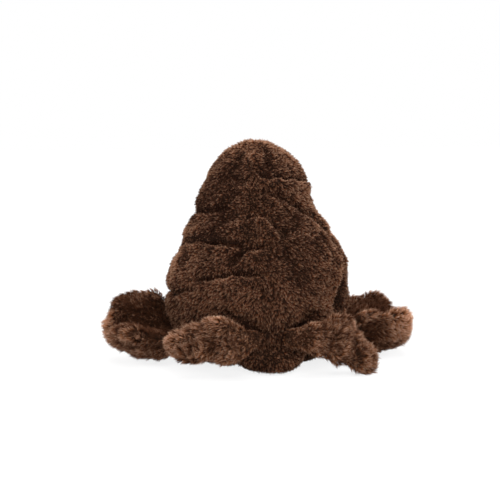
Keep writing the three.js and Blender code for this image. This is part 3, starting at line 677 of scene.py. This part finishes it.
def copyNodes(name, nodes, voxel):  # one closed skin over the solids
    bm = bmesh.new()
    for node in nodes:
        bm.from_mesh(frame["nodes"][node].data)
    bmesh.ops.remove_doubles(bm, verts=bm.verts, dist=samePoint)
    skin = meshObject(name, bm)
    voxels = skin.modifiers.new("voxels", "REMESH")
    voxels.mode = "VOXEL"
    voxels.voxel_size = voxel
    bpy.context.view_layer.update()
    applyAll(skin)
    bm = bmesh.new()
    bm.from_mesh(skin.data)
    left = set(bm.verts)
    shells = []
    while left:
        shell = [left.pop()]
        for spot in shell:  # grows as it goes
            near = left & {edge.other_vert(spot) for edge in spot.link_edges}
            left -= near
            shell.extend(near)
        shells.append(shell)
    outer = set(max(shells, key=len))  # without what the solids hold
    bmesh.ops.delete(bm, geom=[v for v in bm.verts if v not in outer], context="VERTS")
    bm.to_mesh(skin.data)
    bm.free()
    return skin


flipperCloth = {
    "voxel": 0.0026, "relax": 5, "inset": 2.6, "root": {"sunk": 10, "from": 14, "over": 22},
    "pressure": 4, "frames": 16, "quality": 4, "most": 2.2,
    "lumps": [(1, 24, 9), (0.5, 12, 10)], "patch": 2.5, "ends": 0.15,
    "lip": {"rise": 0.3, "at": 2.2, "wide": 1.4}, "least": 0.0015,
}
# out is toward the tip, inward is the way that the root goes into the body, cup is how much painted shade
# the hollow gets
# nudges are a point in millimetres, a radius and the way that the cloth is pulled there
# creases are lines of points, then depth and width, and are painted darker as shade; patches are a point, a
# radius and how much lighter and swollen, the lighter and darker colour painted light and shade
flipperLooks = {
    "front_flipper_left": {
        "out": (-0.9998, 0.0184, 0), "inward": (0.9998, -0.0184, 0), "seed": 31, "cup": 0.5,
        "nudges": [
            ((-100, 32, 50), 24, (0, 0, 7)), ((-120, 20, 44), 14, (3, 0, 3)),
            ((-122, -20, 6), 17, (17, 0, 9)), ((-100, -25, 3), 26, (0, 0, 7)),
            ((-76, 18, 40), 20, (6, 0, 0)), ((-126, -16, 14), 11, (11, 0, 7)),
            ((-95, 33, 48), 13, (0, 0, 1)), ((-84, 35, 46), 11, (0, 0, 7)),
            ((-118, 28, 46), 12, (-3, 0, 2)), ((-114, 10, 33), 9, (-4, 0, -6)),
            ((-116, -20, 9), 14, (0, -8, 0)),
        ],
        "creases": [
            ([(-119, 14, 37), (-118, 9, 31), (-117, 0, 27), (-113, -12, 26)], 3, 2.6),
        ],
        "patches": [
            ((-110, -24, 14), 12, 0.4), ((-116, -4, 30), 8, -0.4), ((-104, -20, 32), 9, -0.25),
            ((-88, -29, 21), 10, -0.4), ((-92, 13, 26), 12, -0.4), ((-116, 9, 31), 9, -0.6),
            ((-112, 34, 51), 13, -0.35), ((-131, 10, 28), 8, 0.45), ((-118, -19, 14), 11, 0.5),
            ((-124, 16, 38), 8, 0.25), ((-121, -18, 18), 8, 0.4), ((-115, 4, 30), 8, -0.7),
            ((-129, 12, 32), 7, 0.5), ((-130, -5, 26), 7, 0.4), ((-112, 32, 51), 9, -0.2),
            ((-86, 18, 29), 9, 0.25), ((-96, -28, 19), 8, -0.25),
        ],
    },
    "front_flipper_right": {
        "out": (0.9998, 0.0184, 0), "inward": (-0.9998, -0.0184, 0), "seed": 32, "cup": 0.5,
        "nudges": [
            ((112, 30, 46), 20, (0, 0, 3)), ((76, 18, 40), 18, (-5, 0, 0)), ((84, -28, 38), 13, (-2, 0, 4)),
            ((98, -28, 38), 9, (0, 0, 3)),
        ],
        "creases": [],
        "patches": [
            ((117, -30, 33), 12, 0.5), ((125, -28, 33), 10, 0.2), ((86, -30, 23), 13, -0.6),
            ((98, -28, 16), 10, -0.5), ((106, -20, 8), 9, -0.4), ((87, -28, 44), 9, 0.4),
            ((120, -29, 33), 9, 0.3), ((118, 18, 42), 9, -0.3), ((132, -2, 30), 13, -0.3),
            ((113, -24, 42), 7, -0.6), ((85, -27, 36), 8, 0.3), ((116, -30, 34), 8, 0.3),
            ((96, -28, 32), 8, -0.3), ((115, 24, 38), 8, -0.3), ((134, 2, 16), 8, -0.3),
            ((119, -17, 10), 8, -0.4),
        ],
    },
    "rear_flipper_left": {
        "out": (-0.982, 0.189, 0), "inward": (0.19, 0.98, 0), "seed": 33, "cup": 0,
        "nudges": [
            ((-48, -76, 47), 14, (0, 0, 3)), ((-34, -80, 18), 16, (0, 0, -7)),
            ((-72, -66, 46), 14, (0, 0, -8)), ((-73, -76, 16), 13, (0, 0, -3.5)),
        ],
        "creases": [
            ([(-86, -74, 30), (-79, -76, 31), (-70, -78, 34), (-55, -80, 36), (-44, -82, 36),
              (-33, -83, 37.6), (-25, -85, 37)], 5, 3.4),
            ([(-72, -80, 24), (-62, -82, 28.6), (-53, -83, 29)], 2, 2.6),
        ],
        "patches": [
            ((-86, -74, 28), 11, 0.1), ((-45, -74, 46), 13, 0.3), ((-77, -76, 14), 9, -0.3),
            ((-34, -83, 30), 7, -0.15), ((-30, -80, 16), 12, 0.3), ((-20, -85, 32), 14, -0.1),
            ((-62, -72, 45), 8, -0.35), ((-50, -80, 36), 9, -0.25), ((-40, -80, 20), 9, 0.25),
            ((-86, -66, 22), 8, -0.3), ((-67, -75, 15), 8, -0.2),
        ],
    },
    "rear_flipper_right": {
        "out": (0.982, 0.189, 0), "inward": (-0.19, 0.98, 0), "seed": 34, "cup": 0,
        "nudges": [
            ((78, -80, 8), 13, (2, 0, -8)), ((77, -74, 38), 11, (-11, -1, -6)),
            ((86, -69, 27), 9, (-7, 0, -4)), ((80, -73, 32), 8, (-4, 0, -4)), ((80, -80, 6), 9, (1, 0, -5)),
            ((40, -80, 16), 13, (0, 0, -5)), ((50, -80, 12), 10, (0, 0, -3)),
        ],
        "creases": [
            ([(52, -86, 13), (58.7, -83.5, 17), (62.5, -84.7, 20), (64.5, -83.3, 27), (66, -81, 32),
              (69, -78.5, 36)], 8, 3.6),
            ([(19, -86, 28), (24, -85, 23), (29, -84, 21)], 2, 2.6),
        ],
        "patches": [
            ((38, -83, 32), 10, 0.15), ((32, -83, 27), 8, 0.2), ((20, -84, 32), 9, -0.35),
            ((76, -78, 6), 9, -0.25), ((42, -77, 45), 7, -0.25), ((61, -68, 48), 7, -0.35),
            ((44, -83, 29), 7, -0.3), ((52, -84, 20), 6, 0.3), ((80, -74, 30), 9, -0.25),
            ((70, -80, 34), 7, -0.6), ((75, -80, 25), 8, -0.45), ((83, -78, 19), 7, -0.3),
            ((61, -82, 31), 7, -0.3), ((38, -83, 28), 7, -0.25),
        ],
    },
}
pivots = {j["child"]: Vector(j["pos_m"]) for j in frame["joints"] if "pos_m" in j}
flipperSkins = {}
for name, look in flipperLooks.items():
    nodes = [f"{name}_{part}" for part in ("upper", "lower", "fill")]
    skin = copyNodes(f"{name}_skin", nodes, flipperCloth["voxel"])
    relax(skin, flipperCloth["relax"])
    points = readPoints(skin) - readNormals(skin) * flipperCloth["inset"] * mm
    near = (points - np.array(pivots[name])) @ np.array(look["out"])
    root = flipperCloth["root"]
    sink = step((root["from"] * mm - near) / (root["over"] * mm))
    points += np.array(look["inward"]) * root["sunk"] * mm * sink[:, None]
    writePoints(skin, points)
    flipperSkins[name] = skin


def blowOut(skins, setting):  # stuffing presses the cloth out, and no point moves further than the most
    starts = {s.name: readPoints(s) for s in skins}
    for skin in skins:
        cloth = skin.modifiers.new("stuffing", "CLOTH")
        cloth.settings.use_pressure = True
        cloth.settings.uniform_pressure_force = setting["pressure"]
        cloth.settings.effector_weights.gravity = 0
        cloth.settings.quality = setting["quality"]
    for frameNumber in range(1, setting["frames"] + 1):
        scene.frame_set(frameNumber)
    for skin in skins:
        applyAll(skin)
        moved = readPoints(skin) - starts[skin.name]
        far = np.linalg.norm(moved, axis=1)
        most = setting["most"] * mm
        moved *= (most * np.tanh(far / most) / np.maximum(far, 1e-9))[:, None]
        writePoints(skin, starts[skin.name] + moved)
    scene.frame_set(1)


blowOut(list(flipperSkins.values()), flipperCloth)
print("flippers stuffed")

for name, skin in flipperSkins.items():
    look = flipperLooks[name]
    points = readPoints(skin)
    push = clouds(points / mm, flipperCloth["lumps"], look["seed"])
    push += flipperCloth["patch"] * patchSum(points / mm, look["patches"])
    lip = flipperCloth["lip"]
    for path, depth, width in look["creases"]:
        far, side, share = pathDistance(points / mm, path)
        rise = bell(far - lip["at"] * width, lip["wide"] * width, lip["rise"] * depth)
        push += fadeEnds(share, flipperCloth["ends"]) * (rise - bell(far, width, depth))
    points += readNormals(skin) * (push * mm)[:, None]
    for spot, radius, way in look["nudges"]:
        points += bell(spotDistance(points / mm, spot), radius)[:, None] * np.array(way) * mm
    points[:, 2] = np.maximum(points[:, 2], flipperCloth["least"])
    writePoints(skin, points)
    smoothShade(skin, flipperBacking)

# face, on the side that the photograph doesn't show
padShape = {"radii": (18.5, 25, 17), "spread": 15, "height": 151, "inset": 1.6, "press": 5, "gap": 0.6}
noseShape = {"radii": (11, 8, 7.5), "out": 10, "rise": 12, "broaden": 0.28}
eyeShape = {"radii": (5.5, 3.6, 6.5), "angle": 66, "height": 170, "leanBack": 0.45}
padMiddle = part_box("muzzle_pad_left")[1][1] / mm - padShape["radii"][1]


def roundForm(name, radii, rings=28):
    bm = bmesh.new()
    bmesh.ops.create_uvsphere(bm, u_segments=2 * rings, v_segments=rings, radius=1)
    bmesh.ops.scale(bm, vec=[r * mm for r in radii], verts=bm.verts)
    return meshObject(name, bm)


covers = [skinTree(skin) for skin in flipperSkins.values()]
eyeTrees = []
faceSkins = {}
for hand, sign in (("left", -1), ("right", 1)):
    pad = roundForm(f"muzzle_{hand}_skin", [r - padShape["inset"] for r in padShape["radii"]], 36)
    points = readPoints(pad) + np.array([sign * padShape["spread"], padMiddle, padShape["height"]]) * mm
    inner = points[:, 0] * sign / mm
    room = padShape["press"] - padShape["gap"]
    pressed = padShape["gap"] + room * np.exp((inner - padShape["press"]) / room)  # the pads press together
    points[:, 0] = sign * mm * np.where(inner < padShape["press"], pressed, inner)
    writePoints(pad, points)
    smoothShade(pad, muzzleBacking)
    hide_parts(f"muzzle_pad_{hand}")
    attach(pad, "head")
    faceSkins[hand] = pad
    covers.append(skinTree(pad))

    stitched = roundForm(f"stitched_eye_{hand}", eyeShape["radii"])
    height = eyeShape["height"]
    outline = [(z, r) for r, z in bodyOutline(bodyShape)[bodyShape["rows"]["seat"] - 1:]]
    radius = np.interp(height, *zip(*outline))
    turn = math.radians(90 - eyeShape["angle"])
    cos, sin = math.cos(turn), sign * math.sin(turn)
    spin = np.array([[cos, sin, 0], [-sin, cos, 0], [0, 0, 1]])
    out = np.array([sin, cos * bodyShape["depth"], 0])
    points = readPoints(stitched)
    points[:, 1] -= eyeShape["leanBack"] * points[:, 2]  # the crown leans back
    points = points @ spin.T + (out * radius + np.array([0, leanAt(height), height])) * mm
    writePoints(stitched, points)
    smoothShade(stitched, eyeThread)
    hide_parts(f"eye_{hand}")
    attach(stitched, "head")
    eyeTrees.append(skinTree(stitched))
covers += eyeTrees

stitchedNose = roundForm("stitched_nose", noseShape["radii"])
points = readPoints(stitchedNose)
points[:, 0] *= 1 + noseShape["broaden"] * points[:, 2] / (noseShape["radii"][2] * mm)  # broader at the top
points += np.array([0, padMiddle + noseShape["out"], padShape["height"] + noseShape["rise"]]) * mm
writePoints(stitchedNose, points)
smoothShade(stitchedNose, noseThread)
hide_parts("nose")
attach(stitchedNose, "head")
noseTree = skinTree(stitchedNose)
covers.append(noseTree)
print("face sewn")

# tusks of felt
tuskCloth = {"voxel": 0.0011, "relax": 6, "rise": 0.3, "seam": (0.0008, 0.0005)}
for hand in ("left", "right"):
    tusk = copyNodes(f"felt_tusk_{hand}", [f"tusk_{hand}"], tuskCloth["voxel"])
    relax(tusk, tuskCloth["relax"])
    points = readPoints(tusk)
    root = pivots[f"tusk_{hand}"].z
    points[:, 2] += tuskCloth["rise"] * np.maximum(points[:, 2] - root, 0)  # up into the pile of the pad
    writePoints(tusk, points)
    seam = bell(points[:, 0] - points[:, 0].mean(), *tuskCloth["seam"])
    points -= readNormals(tusk) * seam[:, None]
    writePoints(tusk, points)
    smoothShade(tusk, tuskFelt)
    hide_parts(f"tusk_{hand}")
    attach(tusk, f"tusk_{hand}")
print("tusks sewn")

# squeaker inside the stuffing
pouchShape = {
    "radius": 21.7, "low": 47.3, "high": 76.9, "mouth": 9.3, "corner": 3, "wall": 0.5, "sides": 112,
    "middle": (0.02, 7, 14), "merge": 1e-5, "gathers": 14, "pucker": {"high": 4, "deep": 0.12},
}
for node in ("squeaker_base", "squeaker_cap", "squeaker_plug", "squeaker_reed"):
    frame["nodes"][node].data.materials.clear()
    frame["nodes"][node].data.materials.append(softPlastic)

bm = bmesh.new()
bm.from_mesh(frame["nodes"]["squeaker_bellows"].data)
bmesh.ops.remove_doubles(bm, verts=bm.verts, dist=samePoint)
bellows = meshObject("pleated_bellows", bm)
bellows.data.materials.append(softPlastic)
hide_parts("squeaker_bellows")
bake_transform(bellows)


def pouchOutline(shape):
    low, high, wide, corner = (shape[k] for k in ("low", "high", "radius", "corner"))
    inner = wide - corner
    points = [(r, low) for r in (*shape["middle"], inner)]
    for t in np.linspace(0.2, math.pi / 2, 6):
        points.append((inner + corner * math.sin(t), low + corner - corner * math.cos(t)))
    for t in np.linspace(0.1, 0.9, 9):
        points.append((wide, low + corner + (high - low - 2 * corner) * t))
    for t in np.linspace(0, math.pi / 2 - 0.2, 6):
        points.append((inner + corner * math.cos(t), high - corner + corner * math.sin(t)))
    return points + [(r, high) for r in np.linspace(inner, shape["mouth"], 6)]


bm = lathe(pouchOutline(pouchShape), pouchShape["sides"], pouchShape["merge"])
pucker = pouchShape["pucker"]
for v in bm.verts:  # the gathered mouth puckers
    near = max(0, (v.co.z / mm - pouchShape["high"] + pucker["high"]) / pucker["high"])
    wave = math.sin(pouchShape["gathers"] * math.atan2(v.co.y, v.co.x))
    v.co.z -= pucker["deep"] * mm * (1 + near * wave)
bmesh.ops.solidify(bm, geom=bm.faces, thickness=pouchShape["wall"] * mm)
bmesh.ops.recalc_face_normals(bm, faces=bm.faces)
pouch = meshObject("squeaker_bag", bm)
smoothShade(pouch, pouchWeave)
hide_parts("squeaker_pouch")
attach(pouch, "body")
print("squeaker dressed")

# pile of the body and the head
bodyPile = {
    "length": 0.0037, "width": 0.0006, "perSquareMetre": 3.6e6, "perTuft": 6, "cone": True,
    "gather": 0.65, "stray": 19, "bend": 10, "seed": 11, "fleck": 0.22, "tuftFleck": 0.35,
}
# patch sets how strongly the patches and the broad tone list paint light and shade on the pile
bodyNap = {
    "slant": 46, "slants": [(9, 24, 22)], "drift": [(0.3, 30, 21)],
    "tones": [(0.09, 20, 23), (0.08, 8, 24)],
    "seamOver": 12, "seamMost": 100, "seamPart": (0.6, 20, 60), "crownBack": (0.5, 165, 20),
    "crownPaintedLight": (0.4, 174, 12), "shade": 0.42, "patch": 0.32, "foldPaintedShade": 0.55, "foldShort": 0.55,
    "seatShort": 0.5, "eyeShort": 0.45, "eyeClear": (0.55, 5, 8),
}
eyeSpots = [np.array(tree.find_nearest((0, 0.2, 0.17))[0]) for tree in eyeTrees]


def combBody(root):  # down the toy, and away from the seam up its back
    nap = bodyNap
    points = root / mm
    spots = onCloth(points)
    angle, height, radius = aroundBody(points)
    apart = np.tanh(angle / nap["seamOver"]) * (np.abs(angle) < nap["seamMost"])
    lay = np.zeros_like(root)
    lay[:, 0] = apart * rising(height, *nap["seamPart"]) + clouds(points, nap["drift"])
    lay[:, 1] = -rising(height, *nap["crownBack"])
    lay[:, 2] = -1
    slant, shade = slantAndShade(points, nap)
    deep, patch = creaseAt(spots), patchAt(spots, bodyPatches + bodyPaintedLightAndShade)
    reach = np.where(points[:, 2] < 2 * bodyShape["least"], nap["seatShort"], 1.0)
    reach *= 1 - nap["foldShort"] * deep
    for spot in eyeSpots:
        reach *= nap["eyeShort"] + rising(spotDistance(root, spot) / mm, *nap["eyeClear"])
    # painted light on the crown and painted shade in the folds, with the painted light and shade of the
    # patches
    shade += nap["patch"] * patch + rising(height, *nap["crownPaintedLight"]) - nap["foldPaintedShade"] * deep
    return lay, slant, reach, shade


# pieces of the pile, with the heights and the angles that each lies between and its share of the strands
bodyParts = {
    "pile_rump_left": (2, 52, -95, 0, 1), "pile_rump_right": (2, 52, 0, 95, 1),
    "pile_back_left": (52, 100, -95, 0, 1), "pile_back_right": (52, 100, 0, 95, 1),
    "pile_shoulders": (100, 134, -95, 95, 1),
    "pile_belly_left": (2, 134, -181, -95, 0.75), "pile_belly_right": (2, 134, 95, 181, 0.75),
    "pile_seat": (-20, 2, -181, 181, 0.25),
    "pile_head": (134, 210, -95, 95, 1), "pile_face": (134, 210, 95, -95, 0.9),
}
hiddenDepth = 0.0008


def inBody(low, high, left, right, much):  # without what a flipper or a part of the face covers
    def part(centres):
        angle, height, radius = aroundBody(centres / mm)
        after, before = angle >= left, angle < right
        turned = after & before if left < right else after | before
        weight = much * (turned & (height >= low) & (height < high)).astype(float)
        for tree in covers:
            near = np.flatnonzero(weight)
            for k in near[depthIn(centres[near], tree) > hiddenDepth]:
                outward = unit(centres[k:k + 1] * (1, 1, 0))[0]
                if tree.ray_cast(centres[k], outward)[0] is not None:  # the cover lies outside
                    weight[k] = 0
        return weight
    return part


for name, limits in bodyParts.items():
    pile = growPile(name, bodySkin, bodyPile, combBody, inBody(*limits))
    smoothShade(pile, brownPile)
    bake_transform(pile)
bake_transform(bodySkin)

# pile of the muzzle pads
padPile = {
    "length": 0.0036, "width": 0.0004, "perSquareMetre": 3.4e6, "perTuft": 7, "seed": 44,
    "gather": 0.45, "stray": 14, "bend": 14, "fleck": 0.1, "tuftFleck": 0.14,
}
padNap = {
    "from": (0, padMiddle + 12, 163), "slant": 45, "slants": [(8, 14, 41)], "shade": 0.5,
    "tones": [(0.15, 12, 42), (0.1, 5, 43)], "underBody": 0.0005, "underNose": 0.0003, "middle": 0.0011,
}
farUnder = 0.04
bodyTree = skinTree(bodySkin)


def combPad(root):  # away from the nose
    points = root / mm
    slant, shade = slantAndShade(points, padNap)
    return points - np.array(padNap["from"]), slant, np.ones(len(root)), shade


def onPad(centres):
    weight = depthIn(centres, bodyTree, farUnder) < padNap["underBody"]
    weight &= depthIn(centres, noseTree) < padNap["underNose"]
    return weight & (np.abs(centres[:, 0]) > padNap["middle"])


for hand, pad in faceSkins.items():
    pile = growPile(f"pile_muzzle_{hand}", pad, padPile, combPad, onPad)
    smoothShade(pile, muzzlePile)
    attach(pile, "head")

# pile of the flippers, longer and finer
flipperHair = {
    "length": 0.0072, "width": 0.00042, "perSquareMetre": 2.9e6, "perTuft": 7,
    "gather": 0.34, "stray": 20, "bend": 16, "fleck": 0.22, "tuftFleck": 0.24,
}
flipperNap = {
    "drift": 0.38, "driftSize": 20, "slant": 40, "slants": [(10, 16, 5)],
    "tones": [(0.13, 15, 6), (0.08, 6, 7)],
    "shade": 0.27, "tipLight": 0.25, "tipCurve": 1.5, "reach": 0.75, "tipReach": 0.35, "rootReach": 0.55,
    "rootRise": (0.45, 0, 0.25),
    "paintedShadeDepth": 5, "foldPaintedShade": 0.5, "foldShort": 0.45, "foldShortMost": 0.65,
    "cup": (1, 44, 12), "cupTip": (1, 0.84, 0.1), "underBody": 0.001, "bend": (0.006, 0.008),
}
for name, skin in flipperSkins.items():
    look = flipperLooks[name]
    out = np.array(look["out"])
    pivot = np.array(pivots[name])
    span = ((readPoints(skin) - pivot) @ out).max()
    panels = {part: skinTree(frame["nodes"][f"{name}_{part}"]) for part in ("upper", "lower")}

    def onUpper(points):
        far = {part: np.array([tree.find_nearest(p)[3] for p in points]) for part, tree in panels.items()}
        return far["upper"] < far["lower"]

    def combFlipper(root):  # toward the tip, longer and lighter there
        nap, seed = flipperNap, look["seed"]
        points = root / mm
        drift = np.stack([mottle(points, nap["driftSize"], seed + k) for k in range(3)], 1)
        lay = np.broadcast_to(out, root.shape) + nap["drift"] * drift
        along = np.clip((root - pivot) @ out / span, 0, 1)
        slant, shade = slantAndShade(points, nap, seed)
        deep = np.zeros(len(points))
        for path, depth, width in look["creases"]:
            deep = np.maximum(deep, bell(pathDistance(points, path)[0], width, depth / nap["paintedShadeDepth"]))
        reach = nap["rootReach"] + rising(along, *nap["rootRise"])
        reach *= nap["reach"] + nap["tipReach"] * along
        reach *= 1 - np.minimum(nap["foldShort"] * deep, nap["foldShortMost"])
        shade += nap["tipLight"] * along ** nap["tipCurve"]
        # painted light and shade of the patches, painted shade in the creases
        shade += patchSum(points, look["patches"]) - nap["foldPaintedShade"] * deep
        hollowShade = onUpper(root) * (1 - rising(along, *nap["cupTip"]))
        hollowShade *= 1 - rising(points[:, 2], *nap["cup"])  # painted shade, as little light gets to the bottom of a cup
        return lay, slant, reach, shade - look["cup"] * hollowShade

    for part in ("upper", "lower"):
        def inPart(centres):
            outside = depthIn(centres, bodyTree, farUnder) < flipperNap["underBody"]
            return (onUpper(centres) == (part == "upper")) & outside
        hair = {**flipperHair, "seed": look["seed"]}
        pile = growPile(f"pile_{name}_{part}", skin, hair, combFlipper, inPart)
        smoothShade(pile, flipperPile)
        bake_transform(pile)
    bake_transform(skin)
    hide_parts(f"{name}_upper", f"{name}_lower", f"{name}_fill")

# floor, light
studio = {
    "floor": 4, "paper": "f4f4f4", "white": 0.78, "whiter": 0.2, "glow": 1.06, "world": 0.32,
    "aim": (0, 0, 0.08),
}


def seenBare(start):  # rays from the camera, a mirror or a glass
    rays = start.node("ShaderNodeLightPath")
    return start.maths("MAXIMUM", start.maths("MAXIMUM", rays, rays.other(3)), rays.other(6))


bm = bmesh.new()
bmesh.ops.create_grid(bm, x_segments=1, y_segments=1, size=studio["floor"])
floor = meshObject("floor", bm)
paper, start = newMaterial("studio_floor")
away = start.node("ShaderNodeVectorMath", {"operation": "LENGTH"}, {0: objectPlace(start)}, 1)
white = start.maths("MINIMUM", studio["white"] + away * studio["whiter"], 1.0)
matte = start.node("ShaderNodeBsdfDiffuse", None, {"Color": hexColour(studio["paper"])})
bright = start.node("ShaderNodeEmission", None, {"Strength": studio["glow"]})
sheet = start.node("ShaderNodeMixShader", None, {0: seenBare(start) * white, 1: matte, 2: bright})
start.node("ShaderNodeOutputMaterial", None, {"Surface": sheet})
floor.data.materials.append(paper)

world = bpy.data.worlds.new("studio")
scene.world = world
world.use_nodes = True
world.node_tree.nodes.clear()
start = Wire(world.node_tree)
strength = studio["world"] + seenBare(start) * (1 - studio["world"])
glow = start.node("ShaderNodeBackground", None, {"Color": (1, 1, 1, 1), "Strength": strength})
start.node("ShaderNodeOutputWorld", None, {"Surface": glow})

lamps = [  # name, place, size and power
    ("key", (-0.1, -1.1, 1.2), 0.8, 17),
    ("top", (0.1, 0.1, 1.5), 1.0, 13),
    ("edge_left", (-1.25, 0.1, 0.65), 0.5, 9.5),
    ("edge_right", (1.25, 0.1, 0.65), 0.5, 11.5),
    ("edge_top", (0, 0.7, 1.35), 0.8, 4.5),
]
for name, place, size, power in lamps:
    lamp = bpy.data.objects.new(name, bpy.data.lights.new(name, "AREA"))
    scene.collection.objects.link(lamp)
    lamp.data.size = size
    lamp.data.energy = power
    aimAt(lamp, place, studio["aim"])
print("studio lit")
